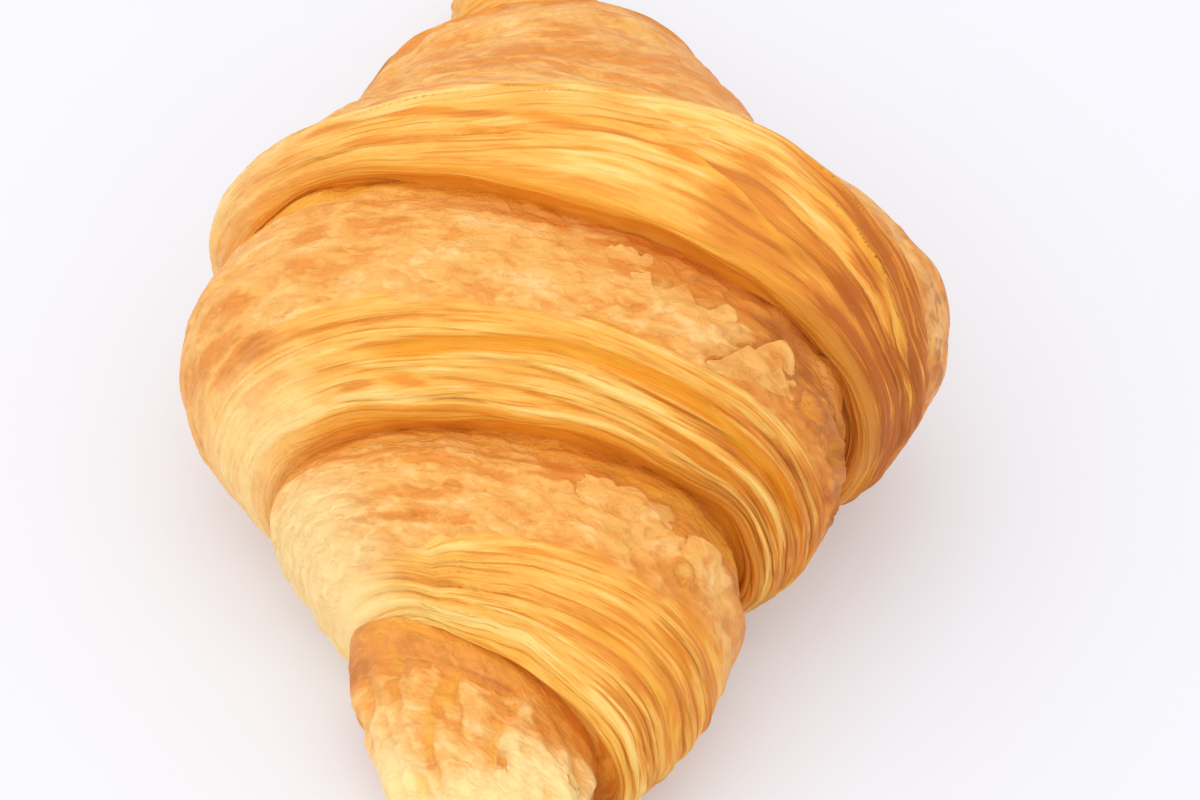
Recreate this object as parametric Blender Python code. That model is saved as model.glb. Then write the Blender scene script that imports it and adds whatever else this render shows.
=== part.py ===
# Butter croissant: bands of rolled dough that step down from a broad middle to two tips.
# Each band comes out from under its larger neighbour as smooth skin, swells, and ends in a
# cut lip where the layers of the dough show as ridges. All bands are baked into one body.
# Metres, +Z up. The long axis is Y, the near tip is at -Y, and the base is flat on z = 0.

import math
from collections import namedtuple

import bmesh
import bpy
from mathutils import Vector, noise

MM = 0.001

# A cross section: its centre and size in millimetres, the turn of its plane in degrees, and
# how square it is, where 2 gives an ellipse. A positive yaw brings its right side nearer.
Ring = namedtuple("Ring", "x y yaw half_width height square", defaults=(2.2,))

# The middle band has a cut lip towards each tip. Its layers start at the crest, and the
# bulge pulls the shoulder outwards between the crest and the near lip.
MIDDLE_NEAR_LIP = Ring(-7.0, -8.7, 18, 39.2, 50.4)
MIDDLE_BULGE = Ring(-4.0, -2.0, 14, 48.5, 54.6, 2.1)
MIDDLE_CREST = Ring(0.3, 8.0, 12, 41.0, 50.6, 2.0)
MIDDLE_FAR_BELLY = Ring(-2.5, 12.7, 12, 33.6, 48.6, 2.0)
MIDDLE_FAR_LIP = Ring(-4.3, 17.1, 11, 30.0, 45.6)

# The other bands: where each one starts inside its neighbour, its widest section, its lip.
SIDE_BANDS = {
    "near_large": (Ring(-8.5, -3.5, 14, 35.5, 45.0), Ring(-10.7, -16.5, 12, 39.2, 47.0),
                   Ring(-10.7, -29.5, 10, 29.0, 35.3)),
    "near_small": (Ring(-9.5, -23.5, 10, 24.5, 30.5), Ring(-10.7, -34.5, 12, 27.0, 32.6),
                   Ring(-11.7, -52.4, 34, 17.4, 23.0)),
    "far_large": (Ring(-3.7, 13.5, 9, 32.6, 46.0), Ring(-7.9, 30.5, -9, 24.4, 39.2),
                  Ring(-9.3, 39.3, -10, 22.6, 34.5)),
    "far_small": (Ring(-9.1, 33.0, -8, 16.2, 28.2), Ring(-8.4, 47.0, -6, 12.3, 25.6),
                  Ring(-8.7, 59.5, -4, 10.2, 19.6)),
}
EVEN_NECKS = ("far_large",)     # these taper evenly, where the others swell at once

# The tips: where each starts, its widest section, and the point where it closes.
TIPS = {
    "near_tip": (Ring(-14.0, -43.0, 34, 16.4, 21.3), Ring(-14.2, -53.0, 30, 15.9, 21.6),
                 Ring(-10.7, -74.5, 18, 14.0, 14.0)),
    "far_tip": (Ring(-8.6, 52.0, -4, 9.1, 16.7), Ring(-9.3, 62.5, -4, 9.8, 17.2),
                Ring(-12.4, 80.0, -6, 8.8, 12.8)),
}

SIDES = 40                  # points round a section
BELLY_SHARE = 0.40          # height of the widest level, as a share of a section's height
SINK = 3.5                  # how far a section would reach below the flat base
NECK_STEPS = 3              # sections from the start of a band to its widest one
SHOULDER_POWER = 1.7        # above 1 keeps the shoulder full before it falls to the lip
LAYERS_MIDDLE = 6
LAYERS_NEAR = 5
LAYERS_FAR = 4
LAYERS_RIM = 1              # on the narrow far sides of the two largest bands
LAYER_START = 0.12          # share of the shoulder that stays smooth skin
LAYER_RISE = 0.45           # share of a layer's width from its groove to its crest
LAYER_DEPTH = 0.55          # half the height from groove to crest, millimetres
LIP_ROUND = 1.0             # how far the lip turns under
LIP_UNDERCUT = 4.5          # depth of the groove under a lip
LIP_THICKNESS = 4.0         # radial thickness of the dough over that groove
DOME_STEPS = (0.30, 0.55, 0.75, 0.89, 0.96)
UNEVEN_SIZE = 17.0          # width of the soft lumps, millimetres
UNEVEN_HEIGHT = 0.9
WRINKLE_SIZE = 6.0
WRINKLE_HEIGHT = 0.35
WRINKLE_SHIFT = Vector((7.0, 3.0, 5.0))     # keeps the wrinkles apart from the lumps

# Torn flakes of skin: band, place along its neck, angle round it from the top towards the
# right in degrees, then length round, width along and lift in millimetres.
FLAKES = (
    ("near_large", 0.80, 40, 17.0, 6.5, 1.2),
    ("near_large", 0.92, 60, 13.0, 5.0, 1.0),
    ("near_large", 0.60, 72, 8.0, 5.0, 0.9),
    ("near_small", 0.75, 40, 10.0, 4.5, 0.8),
    ("far_small", 0.80, 35, 9.0, 4.0, 0.8),
)
FLAKE_STEPS_ROUND = 8
FLAKE_STEPS_ALONG = 4
FLAKE_ROOT = 1.4            # how far a flake reaches into the skin
FLAKE_SUNK = 0.4            # how deep its joined edges lie
FLAKE_TAPER = 0.92          # share of the width that is gone at a flake's points
FLAKE_POINT = 1.5           # higher keeps a flake broad up to its points
FLAKE_CURL = 0.7            # below 1 lifts a flake soon after its joined edge

CRUST_COLOUR = (0.80, 0.42, 0.13, 1.0)
CRUST_ROUGHNESS = 0.55
SMOOTH_ANGLE = math.radians(38)


def mix(a, b, share):
    return a + (b - a) * share


def mix_rings(first, second, share, size_share=None):
    sized = share if size_share is None else size_share
    return Ring(mix(first.x, second.x, share), mix(first.y, second.y, share),
                mix(first.yaw, second.yaw, share),
                mix(first.half_width, second.half_width, sized),
                mix(first.height, second.height, sized),
                mix(first.square, second.square, share))


# One point of a section. The angle starts at the top and grows towards the right. Grow adds
# to the section's radius, and scale draws the section together about its widest level.
def ring_point(ring, angle, grow=0.0, scale=1.0):
    belly = BELLY_SHARE * ring.height
    side, up = math.sin(angle), math.cos(angle)
    power = 2.0 / ring.square
    across = math.copysign(abs(side) ** power, side) * (ring.half_width + grow)
    reach = ring.height - belly if up >= 0.0 else belly + SINK
    rise = math.copysign(abs(up) ** power, up) * (reach + grow)
    yaw = math.radians(ring.yaw)
    return Vector((ring.x + scale * across * math.cos(yaw),
                   ring.y - scale * across * math.sin(yaw),
                   belly + scale * rise))


# Soft lumps and shallow wrinkles, worked out from the place of the point in space.
def uneven(point, centre):
    lump = noise.noise(point / UNEVEN_SIZE) * UNEVEN_HEIGHT
    wrinkle = noise.noise(point / WRINKLE_SIZE + WRINKLE_SHIFT) * WRINKLE_HEIGHT
    outward = (point - centre).normalized()
    return point + outward * (lump + wrinkle)


def ring_points(ring, grow=0.0, scale=1.0):
    centre = Vector((ring.x, ring.y, BELLY_SHARE * ring.height))
    angles = [math.tau * i / SIDES for i in range(SIDES)]
    return [uneven(ring_point(ring, angle, grow, scale), centre) for angle in angles]


def move_back(ring, distance, facing):
    yaw = math.radians(ring.yaw)
    return ring._replace(x=ring.x - facing * distance * math.sin(yaw),
                         y=ring.y - facing * distance * math.cos(yaw))


# Smooth skin from where a band starts to its widest section.
def neck(start, belly, even=False):
    shares = [i / NECK_STEPS for i in range(NECK_STEPS + 1)]
    return [ring_points(neck_ring(start, belly, share, even)) for share in shares]


def neck_ring(start, belly, share, even=False):
    return mix_rings(start, belly, share, share if even else math.sin(share * math.pi / 2))


def shoulder_ring(belly, lip, share):
    return mix_rings(belly, lip, share, share ** SHOULDER_POWER)


def bulged_ring(crest, bulge, lip, share):
    return mix_rings(mix_rings(crest, bulge, share), mix_rings(bulge, lip, share), share)


# The shoulder with its cut layers, the rounded lip and the groove under it. The layers take
# up what follows the start, and ring_at gives the section at a share of the whole length.
def shoulder(ring_at, layer_start, layers, facing):
    rows = []
    step = (1.0 - layer_start) / layers
    for layer in range(layers):
        groove_at = layer_start + layer * step
        rows.append(ring_points(ring_at(groove_at), -LAYER_DEPTH))
        rows.append(ring_points(ring_at(groove_at + LAYER_RISE * step), LAYER_DEPTH))
    lip = ring_at(1.0)
    rows.append(ring_points(lip))
    rows.append(ring_points(move_back(lip, LIP_ROUND, facing), -2 * LIP_ROUND))
    rows.append(ring_points(move_back(lip, LIP_UNDERCUT, facing), -LIP_THICKNESS))
    return rows


# A rounded end that draws in towards the tip.
def dome(belly, tip):
    return [ring_points(mix_rings(belly, tip, at), 0.0, math.sqrt(1.0 - at * at))
            for at in DOME_STEPS]


# A closed tube through the rows of points, with a fan at each end. The last fan meets at
# the end point, where one is given.
def tube_object(name, rows, end=None):
    shape = bmesh.new()
    loops = [[shape.verts.new(point * MM) for point in row] for row in rows]
    for low, high in zip(loops, loops[1:]):
        for i in range(SIDES):
            j = (i + 1) % SIDES
            shape.faces.new((low[i], low[j], high[j], high[i]))
    for loop, meeting in ((loops[0], None), (loops[-1], end)):
        middle = sum((vert.co for vert in loop), Vector()) / SIDES
        hub = shape.verts.new(meeting * MM if meeting else middle)
        for i in range(SIDES):
            shape.faces.new((loop[i], loop[(i + 1) % SIDES], hub))
    return finished_object(name, shape)


def finished_object(name, shape):
    bmesh.ops.triangulate(shape, faces=shape.faces)
    bmesh.ops.recalc_face_normals(shape, faces=shape.faces)
    mesh = bpy.data.meshes.new(name)
    shape.to_mesh(mesh)
    shape.free()
    piece = bpy.data.objects.new(name, mesh)
    bpy.context.scene.collection.objects.link(piece)
    return piece


def middle_band():
    far = shoulder(lambda share: shoulder_ring(MIDDLE_FAR_BELLY, MIDDLE_FAR_LIP, share),
                   LAYER_START, LAYERS_RIM, 1)
    near = shoulder(
        lambda share: bulged_ring(MIDDLE_CREST, MIDDLE_BULGE, MIDDLE_NEAR_LIP, share),
        LAYER_START, LAYERS_MIDDLE, -1)
    skin = [ring_points(MIDDLE_FAR_BELLY), ring_points(MIDDLE_CREST)]
    return tube_object("middle", far[::-1] + skin + near)


def side_bands():
    pieces = []
    for name, (start, belly, lip) in SIDE_BANDS.items():
        facing = 1 if lip.y > start.y else -1
        even = name in EVEN_NECKS
        layers = LAYERS_NEAR if facing < 0 else LAYERS_RIM if even else LAYERS_FAR
        cut = shoulder(lambda share: shoulder_ring(belly, lip, share),
                       LAYER_START, layers, facing)
        pieces.append(tube_object(name, neck(start, belly, even) + cut))
    return pieces


def tips():
    pieces = []
    for name, (start, belly, tip) in TIPS.items():
        point = Vector((tip.x, tip.y, BELLY_SHARE * tip.height))
        pieces.append(tube_object(name, neck(start, belly) + dome(belly, tip), point))
    return pieces


# A flake follows the skin under it: pointed at both ends, thin at its rooted edge and lifted
# at its torn one.
def flake_object(name, band, along, angle, length, width, lift):
    start, belly, lip = SIDE_BANDS[band]
    reach = abs(belly.y - start.y)
    top, bottom = [], []
    for i in range(FLAKE_STEPS_ROUND + 1):
        across = 2.0 * i / FLAKE_STEPS_ROUND - 1.0
        half = width / 2 * (1.0 - FLAKE_TAPER * abs(across) ** FLAKE_POINT)
        for k in range(FLAKE_STEPS_ALONG + 1):
            side = 2.0 * k / FLAKE_STEPS_ALONG - 1.0
            ring = neck_ring(start, belly, along + side * half / reach)
            turn = math.radians(angle) + across * length / 2 / ring.half_width
            lifted = ((side + 1) / 2) ** FLAKE_CURL * (1.0 - across * across)
            raised = mix(-FLAKE_SUNK, lift, lifted)
            centre = Vector((ring.x, ring.y, BELLY_SHARE * ring.height))
            top.append(uneven(ring_point(ring, turn, raised), centre))
            bottom.append(uneven(ring_point(ring, turn, -FLAKE_ROOT), centre))
    return patch_object(name, top, bottom)


def patch_object(name, top, bottom):
    shape = bmesh.new()
    upper = [shape.verts.new(point * MM) for point in top]
    lower = [shape.verts.new(point * MM) for point in bottom]
    row = FLAKE_STEPS_ALONG + 1

    def at(verts, i, k):
        return verts[i * row + k]

    for i in range(FLAKE_STEPS_ROUND):
        for k in range(FLAKE_STEPS_ALONG):
            for verts in (upper, lower):
                shape.faces.new((at(verts, i, k), at(verts, i + 1, k),
                                 at(verts, i + 1, k + 1), at(verts, i, k + 1)))
    border = [(i, 0) for i in range(FLAKE_STEPS_ROUND)]
    border += [(FLAKE_STEPS_ROUND, k) for k in range(FLAKE_STEPS_ALONG)]
    border += [(i, FLAKE_STEPS_ALONG) for i in range(FLAKE_STEPS_ROUND, 0, -1)]
    border += [(0, k) for k in range(FLAKE_STEPS_ALONG, 0, -1)]
    for here, after in zip(border, border[1:] + border[:1]):
        shape.faces.new((at(upper, *here), at(upper, *after),
                         at(lower, *after), at(lower, *here)))
    return finished_object(name, shape)


def flakes():
    return [flake_object("flake_%d" % i, *values) for i, values in enumerate(FLAKES)]


# Joins every piece to the first one.
def fuse(base, others):
    group = bpy.data.collections.new("fused")
    for piece in others:
        group.objects.link(piece)
    union = base.modifiers.new("union", "BOOLEAN")
    union.operation = "UNION"
    union.operand_type = "COLLECTION"
    union.collection = group
    union.solver = "EXACT"
    bpy.context.view_layer.objects.active = base
    bpy.ops.object.modifier_apply(modifier=union.name)
    for piece in others:
        bpy.data.objects.remove(piece)
    bpy.data.collections.remove(group)


# Cuts the base flat at z = 0, where the croissant lay while it was baked.
def flatten_base(piece):
    shape = bmesh.new()
    shape.from_mesh(piece.data)
    everything = shape.verts[:] + shape.edges[:] + shape.faces[:]
    bmesh.ops.bisect_plane(shape, geom=everything, plane_co=(0, 0, 0), plane_no=(0, 0, -1),
                           clear_outer=True)
    open_edges = [edge for edge in shape.edges if edge.is_boundary]
    bmesh.ops.holes_fill(shape, edges=open_edges)
    bmesh.ops.triangulate(shape, faces=[face for face in shape.faces if len(face.verts) > 3])
    shape.to_mesh(piece.data)
    shape.free()


# Keeps the largest body. What falls away is scraps, and hollows that the union sealed.
def keep_largest(piece):
    shape = bmesh.new()
    shape.from_mesh(piece.data)
    left = set(shape.verts)
    bodies = []
    while left:
        body, front = set(), {left.pop()}
        while front:
            body |= front
            front = {edge.other_vert(vert) for vert in front for edge in vert.link_edges} - body
        left -= body
        bodies.append(body)
    largest = max(bodies, key=len)
    bmesh.ops.delete(shape, geom=[vert for vert in shape.verts if vert not in largest],
                     context="VERTS")
    shape.to_mesh(piece.data)
    shape.free()


def centre_on_origin(piece):
    xs = [vert.co.x for vert in piece.data.vertices]
    ys = [vert.co.y for vert in piece.data.vertices]
    middle = Vector(((min(xs) + max(xs)) / 2, (min(ys) + max(ys)) / 2, 0))
    for vert in piece.data.vertices:
        vert.co -= middle


def crust_material():
    material = bpy.data.materials.new("baked crust")
    material.use_nodes = True
    shader = material.node_tree.nodes["Principled BSDF"]
    shader.inputs["Base Color"].default_value = CRUST_COLOUR
    shader.inputs["Roughness"].default_value = CRUST_ROUGHNESS
    shader.inputs["Metallic"].default_value = 0.0
    return material


def make_croissant():
    for thing in list(bpy.data.objects):
        bpy.data.objects.remove(thing)
    body = middle_band()
    fuse(body, side_bands() + tips() + flakes())
    flatten_base(body)
    keep_largest(body)
    centre_on_origin(body)
    body.name = "croissant"
    body.data.name = "croissant"
    body.data.materials.clear()
    body.data.materials.append(crust_material())
    body.data.shade_smooth()
    body.data.set_sharp_from_angle(angle=SMOOTH_ANGLE)
    return body


make_croissant()
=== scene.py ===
import math

import bmesh
import bpy
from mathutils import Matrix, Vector, kdtree, noise


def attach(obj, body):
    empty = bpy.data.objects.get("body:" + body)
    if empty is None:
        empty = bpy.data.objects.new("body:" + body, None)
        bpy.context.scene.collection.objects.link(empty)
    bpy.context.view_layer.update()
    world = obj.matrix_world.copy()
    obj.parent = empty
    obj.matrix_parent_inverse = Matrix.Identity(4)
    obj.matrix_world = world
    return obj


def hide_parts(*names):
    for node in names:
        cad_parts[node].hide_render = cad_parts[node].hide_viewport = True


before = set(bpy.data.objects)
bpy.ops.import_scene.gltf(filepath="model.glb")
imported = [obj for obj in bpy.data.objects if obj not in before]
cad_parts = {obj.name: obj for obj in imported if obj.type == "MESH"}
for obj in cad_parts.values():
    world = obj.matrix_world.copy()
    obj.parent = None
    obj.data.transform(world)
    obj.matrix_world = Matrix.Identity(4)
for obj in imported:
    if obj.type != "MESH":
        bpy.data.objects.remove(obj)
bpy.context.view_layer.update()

mm = 0.001


def mix(a, b, share):
    return a + (b - a) * share


def ease(low, high, value):    # 0 below low, 1 above high, smooth between
    share = min(max((value - low) / (high - low), 0.0), 1.0)
    return share * share * (3.0 - 2.0 * share)


def wave(a, b, c=0.0):    # smooth noise, about -0.6 to 0.6
    return noise.noise(Vector((a, b, c)))


def curveAt(points, u):    # the height of a line of points at u
    if u <= points[0][0]:
        return points[0][1]
    for (low, first), (high, second) in zip(points, points[1:]):
        if u <= high:
            return mix(first, second, ease(0.0, 1.0, 0.5 + ((u - low) / (high - low) - 0.5) * 0.8))
    return points[-1][1]


def deselectAll():
    if bpy.context.object and bpy.context.object.mode != "OBJECT":
        bpy.ops.object.mode_set(mode="OBJECT")
    bpy.ops.object.select_all(action="DESELECT")


# shader maths


class Value:    # a socket that can be added, multiplied and so on
    def __init__(self, shader, socket):
        self.shader = shader
        self.socket = socket

    def maths(self, operation, first, second):
        return self.shader.node("Math", {"operation": operation}, {0: first, 1: second})

    def __add__(self, other):
        return self.maths("ADD", self, other)

    def __sub__(self, other):
        return self.maths("SUBTRACT", self, other)

    def __rsub__(self, other):
        return self.maths("SUBTRACT", other, self)

    def __mul__(self, other):
        return self.maths("MULTIPLY", self, other)

    def __abs__(self):
        return self.maths("ABSOLUTE", self, 0.0)

    __radd__ = __add__
    __rmul__ = __mul__


class Shader:
    def __init__(self, name):
        self.material = bpy.data.materials.new(name)
        self.material.use_nodes = True
        self.tree = self.material.node_tree
        self.surface = self.tree.nodes["Principled BSDF"]

    # any node: its type, its settings, then the values or links of its sockets
    def node(self, kind, settings=None, sockets=None, out=0):
        made = self.tree.nodes.new("ShaderNode" + kind)
        for key, value in (settings or {}).items():
            setattr(made, key, value)
        for key, value in (sockets or {}).items():
            self.feed(made.inputs[key], value)
        return Value(self, made.outputs[out])

    def feed(self, socket, value):
        if isinstance(value, Value):
            self.tree.links.new(value.socket, socket)
        else:
            socket.default_value = value

    def attribute(self, name):
        return self.node("Attribute", {"attribute_name": name}, out=2)

    def blend(self, share, first, second):
        return self.node("Mix", {"data_type": "RGBA"}, {0: share, 6: first, 7: second}, out=2)

    def ramp(self, value, low, high):    # 0 below low, 1 above high
        return self.node("MapRange", {"interpolation_type": "SMOOTHSTEP"},
                         {0: value, 1: low, 2: high, 3: 0.0, 4: 1.0})

    # noise in patches of so many mm around the roll and across its layers
    def patches(self, place, around, across, shift, detail=4.0, roughness=0.55, distortion=0.0):
        spot = self.node("Mapping", {}, {0: place, 1: (shift, shift * 1.7, shift),
                                         3: (1.0 / around, 1.0 / across, 1.0)})
        return self.node("TexNoise", {}, {"Vector": spot, "Scale": 1.0, "Detail": detail,
                                          "Roughness": roughness, "Distortion": distortion})

    def edges(self, value, halfWidth):    # 1 where the value passes a whole number
        inside = value.maths("FRACT", value, 0.0)
        return self.ramp(abs(inside - 0.5), 0.5 - halfWidth, 0.49)


def linear(red, green, blue):    # screen colour, 0 to 255, as the shader's own colour
    def one(value):
        value /= 255
        return value / 12.92 if value <= 0.04045 else ((value + 0.055) / 1.055) ** 2.4
    return (one(red), one(green), one(blue), 1.0)


crustLook = {
    "skinGold": linear(241, 175, 87),
    "skinPale": linear(248, 198, 126),
    "skinOrange": linear(229, 145, 54),
    "skinBrown": linear(178, 98, 36),
    "strandPale": linear(251, 210, 122),
    "strandGold": linear(243, 180, 76),
    "strandOrange": linear(230, 144, 40),
    "strandBrown": linear(190, 100, 16),
    # painted shade: the amber put in the cracks, pits and openings and under the lips
    "hollowShade": linear(246, 176, 50),
    "cream": linear(254, 220, 150),
    "roughness": 0.52,
    "gloss": 0.35,
    "subsurface": 0.14,
    "subsurfaceRadius": (1.6, 0.9, 0.4),    # mm for red, green, blue
    "coat": 0.03,
}


# soft mottled skin, with a few darker spots
def skinColour(shader, look, place, tint, patch, brownAndShade):
    smudge = shader.patches(place, 6.4, 2.5, 8.0, 5.0, 0.58, 0.5)
    fleck = shader.patches(place, 2.5, 1.2, 3.0, 5.0, 0.62, 0.6)
    speck = shader.patches(place, 0.9, 0.6, 14.0, 4.0, 0.65)
    spots = shader.patches(place, 3.0, 1.9, 21.0, 4.0, 0.6, 0.3)
    value = (smudge - 0.5) * 1.3 + (fleck - 0.5) * 0.8 + (speck - 0.5) * 0.35 + (patch - 0.5) * 0.15
    value = value + tint - brownAndShade * 0.25
    colour = shader.blend(shader.ramp(value, 0.12, 0.50), look["skinOrange"], look["skinGold"])
    colour = shader.blend(shader.ramp(value, 0.46, 0.88), colour, look["skinPale"])
    colour = shader.blend(shader.ramp(spots, 0.56, 0.70) * 0.6, colour, look["skinOrange"])
    brownedAndShaded = brownAndShade * shader.ramp(spots, 0.44, 0.66) * 0.75 + shader.ramp(value, -0.05, -0.5) * 0.5
    return shader.blend(brownedAndShaded, colour, look["skinBrown"]), fleck, speck


# soft streaks and stripes that follow the layers
def strandColour(shader, look, place, tint, brownAndShade, gaps):
    broad = shader.patches(place, 20.0, 3.0, 5.0, 3.0, 0.6, 0.3)
    streak = shader.patches(place, 8.0, 0.9, 19.0, 4.0, 0.6, 0.5)
    stripe = shader.patches(place, 22.0, 0.8, 11.0, 4.0, 0.6)
    fibre = shader.patches(place, 7.0, 0.28, 17.0, 3.0, 0.6)
    value = (broad - 0.5) * 1.0 + (streak - 0.5) * 0.9 + (stripe - 0.5) * (1.1 + 2.6 * brownAndShade)
    value = value + (fibre - 0.5) * (0.7 + 1.6 * brownAndShade) + tint
    value = value - brownAndShade * 0.65 - gaps * (0.30 + 0.3 * brownAndShade)
    colour = shader.blend(shader.ramp(value, 0.12, 0.50), look["strandOrange"], look["strandGold"])
    colour = shader.blend(shader.ramp(value, 0.46, 0.90), colour, look["strandPale"])
    colour = shader.blend(shader.ramp(streak, 0.58, 0.70) * 0.55, colour, look["strandOrange"])
    shade = value + (stripe - 0.5) * 1.2
    brownedAndShaded = brownAndShade * shader.ramp(shade, 0.42, -0.30) * 0.9 + shader.ramp(shade, 0.0, -0.5) * 0.5
    return shader.blend(brownedAndShaded, colour, look["strandBrown"]), stripe, fibre


def crustMaterial(name, subsurface):
    look = crustLook
    shader = Shader(name)
    layered = shader.attribute("layered")
    hollowShade = shader.attribute("hollowShade")
    # the browner right side: partly browner crust and partly painted shade
    brownAndShade = shader.attribute("brownAndShade")
    tint = shader.attribute("tint")
    skinPlace = shader.node("UVMap", {"uv_map": "wrap"})
    around = shader.node("SeparateXYZ", {}, {0: skinPlace})
    layerPlace = shader.node("CombineXYZ", {}, {0: around, 1: shader.attribute("layerAt")})
    skin, fleck, speck = skinColour(shader, look, skinPlace, tint, shader.attribute("patch"), brownAndShade)
    seen = shader.ramp(shader.patches(layerPlace, 15.0, 1.3, 31.0, 2.0), 0.40, 0.60)
    gaps = shader.edges(shader.attribute("strandAt"), 0.16) * seen
    cracked = shader.ramp(shader.patches(layerPlace, 19.0, 2.3, 37.0, 2.0), 0.42, 0.62)
    gaps = gaps + shader.edges(shader.attribute("ledgeAt"), 0.10) * cracked * 1.3
    # cream where the crust is paler: partly painted light on the left side, partly the cream of a
    # rounded end
    creamy = shader.ramp(shader.attribute("paleAndLit") + (fleck - 0.5) * 0.6, 0.0, 1.1)
    gaps = gaps * (1.0 - 0.85 * creamy) * shader.attribute("opening")
    strand, stripe, fibre = strandColour(shader, look, layerPlace, tint, brownAndShade, gaps)
    colour = shader.blend(layered, skin, strand)
    colour = shader.blend(creamy, colour, look["cream"])
    # painted shade in the hollows and under the lips
    colour = shader.blend(hollowShade, colour, look["hollowShade"])

    skinHeight = shader.ramp(fleck, 0.38, 0.58) * 0.4 + speck * 0.45 + fleck * 0.3
    strandHeight = stripe * 1.2 + fibre * 0.55 - gaps * 0.35
    bumps = skinHeight * (1.0 - layered) + strandHeight * layered
    bump = shader.node("Bump", {}, {"Height": bumps, "Strength": 0.75, "Distance": 0.35 * mm})
    shader.feed(shader.surface.inputs["Base Color"], colour)
    shader.feed(shader.surface.inputs["Roughness"], look["roughness"] + (speck - 0.5) * 0.25)
    shader.feed(shader.surface.inputs["Normal"], bump)
    shader.feed(shader.surface.inputs["Coat Weight"], look["coat"] * (1.0 - hollowShade))
    shader.surface.inputs["Coat Roughness"].default_value = 0.4
    shader.surface.inputs["Specular IOR Level"].default_value = look["gloss"]
    shader.surface.inputs["Subsurface Weight"].default_value = subsurface
    shader.surface.inputs["Subsurface Radius"].default_value = look["subsurfaceRadius"]
    shader.surface.inputs["Subsurface Scale"].default_value = mm
    return shader.material


# a section: x, y, turn in degrees, half width, height in mm. A positive turn brings its
# right side nearer, and the widest level is at 0.4 of the height

bellyShare = 0.40
sink = 0.07          # share of the height that would reach below the base
crowding = 0.28      # draws the columns from the base towards the top


def mixSections(first, second, share, sizeShare=None):
    sized = share if sizeShare is None else sizeShare
    shares = (share, share, share, sized, sized)
    return tuple(mix(a, b, part) for a, b, part in zip(first, second, shares))


def drawnBack(section, distance, facing, thinner):
    x, y, turn, halfWidth, height = section
    angle = math.radians(turn)
    return (x - facing * distance * math.sin(angle), y - facing * distance * math.cos(angle),
            turn, halfWidth - thinner, height - thinner)


def crownOf(section):
    return Vector((section[0], section[1], section[4]))


def withAlong(sections, zeroAt):    # adds the mm run along the crown, 0 at one section
    run = [0.0]
    for first, second in zip(sections, sections[1:]):
        run.append(run[-1] + (crownOf(second) - crownOf(first)).length)
    return [section + (place - run[zeroAt],) for section, place in zip(sections, run)]


def facingOf(band):    # 1 where a band runs to the far side, and -1 to the near side
    return 1 if band["belly"][1] > band["start"][1] else -1


# the smooth neck, the shoulder down to the lip, and the lip turned under
def neckSections(band):
    start, belly = band["start"], band["belly"]
    deep = drawnBack(start, band["rooted"], facingOf(band), 1.0)
    even = band.get("evenNeck")    # tapers evenly, where the others swell at once
    steps = [share if even else math.sin(share * math.pi / 2) for share in (0.0, 0.33, 0.67)]
    return [deep] + [mixSections(start, belly, share, size)
                     for share, size in zip((0.0, 0.33, 0.67), steps)] + [belly]


def shoulderSections(band):
    steps = band["shoulderSteps"]
    rows = [mixSections(band["belly"], band["lip"], i / steps, (i / steps) ** 1.7)
            for i in range(1, steps + 1)]
    return rows + lipSections(band["lip"], facingOf(band))


def lipSections(lip, facing):
    return [drawnBack(lip, 0.8, facing, 1.5), drawnBack(lip, 2.6, facing, 2.9)]


def middleSections(band):
    far = [mixSections(band["farBelly"], band["farLip"], share, share ** 1.7)
           for share in (0.4, 0.75, 1.0)] + lipSections(band["farLip"], 1)
    near = []
    for share in band["nearSteps"]:
        inner = mixSections(band["crest"], band["bulge"], share)
        outer = mixSections(band["bulge"], band["nearLip"], share)
        near.append(mixSections(inner, outer, share))
    near += lipSections(band["nearLip"], -1)
    return far[::-1] + [band["farBelly"], band["crest"]] + near


def addCircle(section, columns, square):
    x, y, turn, halfWidth, height = section[:5]
    deselectAll()
    bpy.ops.mesh.primitive_circle_add(vertices=columns, radius=mm, location=(0, 0, 0),
                                      rotation=(math.pi / 2, 0, 0))
    bpy.ops.object.transform_apply(location=True, rotation=True, scale=True)
    piece = bpy.context.object
    for vert in piece.data.vertices:    # from a circle to the squarer section of a roll
        polar = math.atan2(vert.co.x, vert.co.z)
        angle = polar - crowding * math.sin(polar)
        side, up = math.sin(angle), math.cos(angle)
        across = math.copysign(abs(side) ** (2 / square), side)
        rise = math.copysign(abs(up) ** (2 / square), up)
        reach = 1 - bellyShare if up > 0 else bellyShare + sink
        vert.co = Vector((across * halfWidth, 0, (bellyShare + rise * reach) * height)) * mm
    return piece


def turnSelected(degrees, centre):    # with no window the operator turns the other way
    bpy.ops.transform.rotate(value=math.radians(degrees), orient_axis="Z",
                             center_override=centre)


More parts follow.
